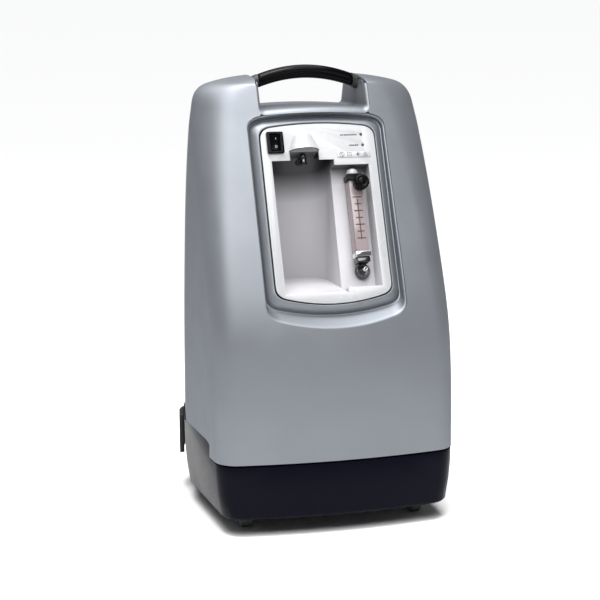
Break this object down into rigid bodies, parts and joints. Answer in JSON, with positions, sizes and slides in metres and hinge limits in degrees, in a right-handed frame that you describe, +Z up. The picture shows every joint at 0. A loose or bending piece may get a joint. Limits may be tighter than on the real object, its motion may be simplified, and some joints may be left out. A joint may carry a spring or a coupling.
{
  "type": "oxygen concentrator",
  "caption": "Floor-standing oxygen concentrator: two-shell cabinet with a grip, castered base tray, recessed panel with humidifier bay and flowmeter.",
  "frame": {"origin": "on the floor below the middle of the overall box", "axes": "+Z up, the control panel faces -Y, +X to the right of someone facing the front"},
  "size_m": [0.396, 0.3711, 0.7],
  "materials": {
    "aluminium_tube": "extruded aluminium",
    "black_plastic": "gloss black moulding",
    "black_rubber": "matt black rubber",
    "bright_chrome": "bright plated metal",
    "cast_aluminium": "as-cast aluminium",
    "clear_acrylic": "clear acrylic with a faint pink tint",
    "copper_tube": "copper tube",
    "green_board": "green solder mask",
    "grey_foam": "open-cell filter foam",
    "grey_plastic": "grey moulded plastic",
    "lamp_lens": "unlit dark lamp lens",
    "navy_plastic": "blue-black moulded plastic, low sheen",
    "silver_paint": "satin metallic silver paint over moulded plastic",
    "smoked_chrome": "dark chrome plating",
    "wheel_rubber": "hard black tread",
    "white_plastic": "off-white moulded plastic",
    "zinc_steel": "zinc-plated steel"
  },
  "bodies": {
    "cabinet": {"base_tray": "navy_plastic", "cabinet_filter": "grey_foam", "chassis_frame": "zinc_steel", "circuit_board": "green_board", "circuit_breaker": "black_plastic", "compressor_body": "cast_aluminium", "compressor_head_left": "cast_aluminium", "compressor_head_right": "cast_aluminium", "control_panel": "white_plastic", "cooling_fan_housing": "black_plastic", "flow_valve_body": "black_plastic", "flowmeter_band": "bright_chrome", "flowmeter_block": "clear_acrylic", "flowmeter_cap": "white_plastic", "flowmeter_foot": "smoked_chrome", "front_shell": "silver_paint", "handle_ferrule_left": "black_plastic", "handle_ferrule_right": "black_plastic", "handle_grip": "black_plastic", "heat_exchanger_coil": "copper_tube", "hour_meter": "black_plastic", "humidifier_elbow": "smoked_chrome", "humidifier_hood": "white_plastic", "intake_muffler": "grey_plastic", "isolation_mount_front_left": "black_rubber", "isolation_mount_front_right": "black_rubber", "isolation_mount_rear_left": "black_rubber", "isolation_mount_rear_right": "black_rubber", "led_alarm": "lamp_lens", "led_power": "lamp_lens", "outlet_collar": "smoked_chrome", "oxygen_outlet": "bright_chrome", "power_inlet": "black_rubber", "power_switch_frame": "black_plastic", "product_tank": "navy_plastic", "rear_bumper_left": "black_rubber", "rear_bumper_right": "black_rubber", "rear_shell": "silver_paint", "run_capacitor": "aluminium_tube", "sieve_bed_left": "aluminium_tube", "sieve_bed_right": "aluminium_tube", "status_label": "white_plastic", "valve_manifold": "aluminium_tube"},
    "power_rocker": {"power_switch_rocker": "black_plastic"},
    "flow_control": {"flow_knob": "black_plastic"},
    "float": {"flowmeter_float": "smoked_chrome"},
    "filter_cover": {"filter_grille": "navy_plastic"},
    "reset_button": {"breaker_button": "white_plastic"},
    "fan_rotor": {"cooling_fan_rotor": "black_plastic"},
    "compressor_rotor": {"compressor_shaft": "zinc_steel", "compressor_fan_left": "navy_plastic", "compressor_fan_right": "navy_plastic"},
    "caster_front_left": {"caster_fork_front_left": "zinc_steel"},
    "wheel_front_left": {"caster_wheel_front_left": "wheel_rubber"},
    "caster_rear_left": {"caster_fork_rear_left": "zinc_steel"},
    "wheel_rear_left": {"caster_wheel_rear_left": "wheel_rubber"},
    "caster_front_right": {"caster_fork_front_right": "zinc_steel"},
    "wheel_front_right": {"caster_wheel_front_right": "wheel_rubber"},
    "caster_rear_right": {"caster_fork_rear_right": "zinc_steel"},
    "wheel_rear_right": {"caster_wheel_rear_right": "wheel_rubber"}
  },
  "joints": [
    {"name": "power_rocker_tilt", "type": "hinge", "parent": "cabinet", "child": "power_rocker", "pos_m": [-0.069, -0.0519, 0.58488], "axis": [1, 0, 0], "range_deg": [-18, 0]},
    {"name": "flow_knob_turn", "type": "hinge", "parent": "cabinet", "child": "flow_control", "pos_m": [0.058, -0.08578, 0.52367], "axis": [0, -0.9245, 0.3811], "range_deg": [0, 1440]},
    {"name": "float_rise", "type": "slide", "parent": "cabinet", "child": "float", "axis": [0, 0.3811, 0.9245], "range_m": [0, 0.088]},
    {"name": "filter_cover_pull", "type": "slide", "parent": "cabinet", "child": "filter_cover", "axis": [0, 1, 0], "range_m": [0, 0.05]},
    {"name": "breaker_press", "type": "slide", "parent": "cabinet", "child": "reset_button", "axis": [0, -1, 0], "range_m": [0, 0.003], "stiffness_N_per_m": 400},
    {"name": "cooling_fan_spin", "type": "hinge", "parent": "cabinet", "child": "fan_rotor", "pos_m": [0, -0.036, 0.266], "axis": [0, 0, 1], "continuous": true},
    {"name": "compressor_spin", "type": "hinge", "parent": "cabinet", "child": "compressor_rotor", "pos_m": [0, -0.036, 0.128], "axis": [1, 0, 0], "continuous": true},
    {"name": "swivel_front_left", "type": "hinge", "parent": "cabinet", "child": "caster_front_left", "pos_m": [-0.138, -0.128, 0.045], "axis": [0, 0, 1], "continuous": true},
    {"name": "roll_front_left", "type": "hinge", "parent": "caster_front_left", "child": "wheel_front_left", "pos_m": [-0.138, -0.116, 0.019], "axis": [1, 0, 0], "continuous": true},
    {"name": "swivel_rear_left", "type": "hinge", "parent": "cabinet", "child": "caster_rear_left", "pos_m": [-0.138, 0.128, 0.045], "axis": [0, 0, 1], "continuous": true},
    {"name": "roll_rear_left", "type": "hinge", "parent": "caster_rear_left", "child": "wheel_rear_left", "pos_m": [-0.138, 0.14, 0.019], "axis": [1, 0, 0], "continuous": true},
    {"name": "swivel_front_right", "type": "hinge", "parent": "cabinet", "child": "caster_front_right", "pos_m": [0.138, -0.128, 0.045], "axis": [0, 0, 1], "continuous": true},
    {"name": "roll_front_right", "type": "hinge", "parent": "caster_front_right", "child": "wheel_front_right", "pos_m": [0.138, -0.116, 0.019], "axis": [1, 0, 0], "continuous": true},
    {"name": "swivel_rear_right", "type": "hinge", "parent": "cabinet", "child": "caster_rear_right", "pos_m": [0.138, 0.128, 0.045], "axis": [0, 0, 1], "continuous": true},
    {"name": "roll_rear_right", "type": "hinge", "parent": "caster_rear_right", "child": "wheel_rear_right", "pos_m": [0.138, 0.14, 0.019], "axis": [1, 0, 0], "continuous": true}
  ]
}
